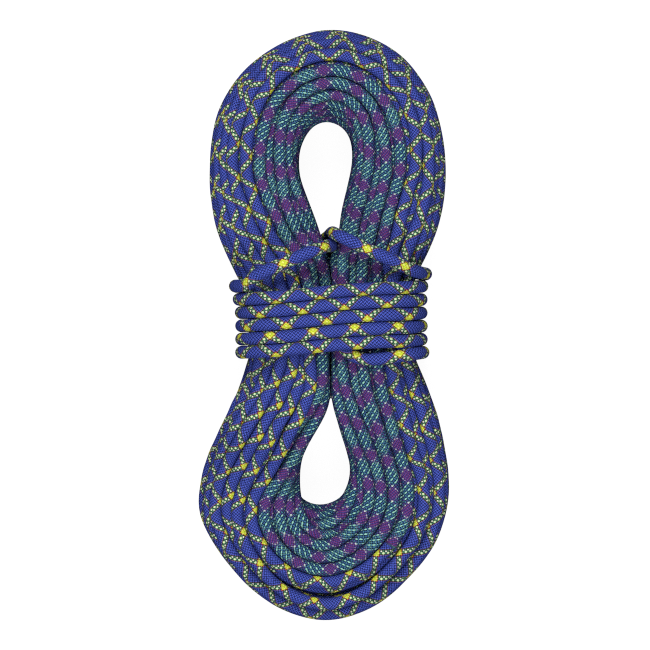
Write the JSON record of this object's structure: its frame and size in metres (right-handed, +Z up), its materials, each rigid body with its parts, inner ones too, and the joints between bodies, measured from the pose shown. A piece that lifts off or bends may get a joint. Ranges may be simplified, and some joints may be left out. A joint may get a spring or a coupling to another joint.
{
  "type": "dynamic climbing rope",
  "caption": "Dynamic climbing rope in two sheath patterns, packed as a flat two-lobed hank with its waist bound by wraps of its own rope and its end locked through one eye.",
  "frame": {"origin": "middle of the hank's outline, on the surface that it lies on", "axes": "+Y along the hank towards the lobe that the locking strand goes through, +X across it, +Z up out of the surface that it lies on"},
  "size_m": [0.187, 0.443, 0.1309],
  "materials": {
    "blue_sheath": "matte",
    "teal_sheath": "matte",
    "core_yarn": "matte",
    "marker_tape": "matte",
    "end_sleeve": "satin",
    "fused_end": "gloss"
  },
  "bodies": {
    "hank": {"coil_outer_turns": "blue_sheath", "coil_inner_turns": "teal_sheath", "waist_wraps": "blue_sheath", "locking_strand": "blue_sheath", "blue_tail_bend": "blue_sheath", "teal_tail_lead": "teal_sheath", "teal_tail_bend": "teal_sheath"},
    "blue_tail": {"blue_tail_sheath": "blue_sheath", "blue_tail_core_strands": "core_yarn", "blue_tail_marker_tape": "marker_tape", "blue_end_sleeve": "end_sleeve", "blue_end_tip": "fused_end"},
    "teal_tail": {"teal_tail_sheath": "teal_sheath", "teal_tail_core_strands": "core_yarn", "teal_tail_marker_tape": "marker_tape", "teal_end_sleeve": "end_sleeve", "teal_end_tip": "fused_end"}
  },
  "joints": [
    {"name": "blue_tail_swing", "type": "hinge", "parent": "hank", "child": "blue_tail", "pos_m": [-0.0755, 0.072, 0.0052], "axis": [0, 0, 1], "range_deg": [0, 55]},
    {"name": "teal_tail_swing", "type": "hinge", "parent": "hank", "child": "teal_tail", "pos_m": [0.078, -0.072, 0.0052], "axis": [0, 0, 1], "range_deg": [0, 55]}
  ]
}
